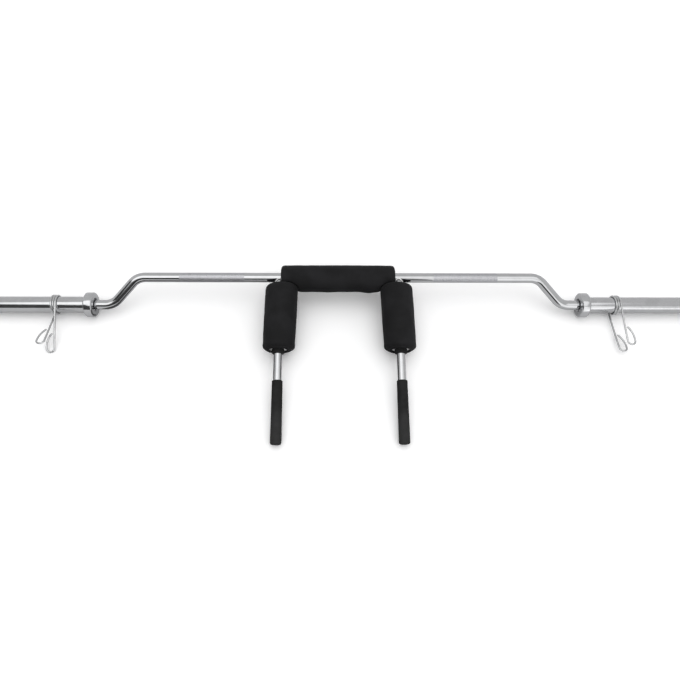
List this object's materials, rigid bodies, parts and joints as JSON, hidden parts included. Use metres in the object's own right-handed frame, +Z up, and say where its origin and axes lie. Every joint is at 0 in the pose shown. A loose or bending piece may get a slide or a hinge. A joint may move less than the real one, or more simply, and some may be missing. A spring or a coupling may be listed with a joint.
{
  "type": "safety squat bar",
  "caption": "Cambered chrome barbell with a padded yoke: a neck pad, two padded forward arms with grips, turning plate sleeves and sprung clips.",
  "frame": {"origin": "middle of the bottom of the whole bar's box as it lies on a floor, on its two collars and the ends of its two grips", "axes": "+X along the bar, +Z up, the arms point towards -Y; left pieces are at -X"},
  "size_m": [2.25, 0.553, 0.1283],
  "materials": {
    "chrome": "polished",
    "steel": "satin",
    "bronze": "satin",
    "foam": "matte",
    "pad_cover": "satin",
    "rubber": "matte",
    "spring_wire": "satin"
  },
  "bodies": {
    "bar": {"main_bar": "chrome", "left_arm": "chrome", "right_arm": "chrome", "neck_pad_foam": "foam", "neck_pad_cover": "pad_cover", "left_arm_pad_foam": "foam", "left_arm_pad_cover": "pad_cover", "right_arm_pad_foam": "foam", "right_arm_pad_cover": "pad_cover", "left_pad_washer": "chrome", "right_pad_washer": "chrome", "left_stop_ring": "rubber", "right_stop_ring": "rubber", "left_grip": "rubber", "right_grip": "rubber", "left_inner_washer": "steel", "right_inner_washer": "steel", "left_outer_washer": "steel", "right_outer_washer": "steel", "left_retaining_ring": "steel", "right_retaining_ring": "steel"},
    "left_plate_sleeve": {"left_sleeve": "chrome", "left_collar": "chrome", "left_inner_bushing": "bronze", "left_outer_bushing": "bronze", "left_end_cap": "chrome"},
    "right_plate_sleeve": {"right_sleeve": "chrome", "right_collar": "chrome", "right_inner_bushing": "bronze", "right_outer_bushing": "bronze", "right_end_cap": "chrome"},
    "left_spring_clip": {"left_clip": "spring_wire"},
    "right_spring_clip": {"right_clip": "spring_wire"}
  },
  "joints": [
    {"name": "left_sleeve_spin", "type": "hinge", "parent": "bar", "child": "left_plate_sleeve", "pos_m": [-0.784, 0.16647, 0.038], "axis": [-1, 0, 0], "continuous": true},
    {"name": "right_sleeve_spin", "type": "hinge", "parent": "bar", "child": "right_plate_sleeve", "pos_m": [0.784, 0.16647, 0.038], "axis": [1, 0, 0], "continuous": true},
    {"name": "left_clip_slide", "type": "slide", "parent": "left_plate_sleeve", "child": "left_spring_clip", "axis": [-1, 0, 0], "range_m": [-0.082, 0.235]},
    {"name": "right_clip_slide", "type": "slide", "parent": "right_plate_sleeve", "child": "right_spring_clip", "axis": [1, 0, 0], "range_m": [-0.076, 0.241]}
  ]
}
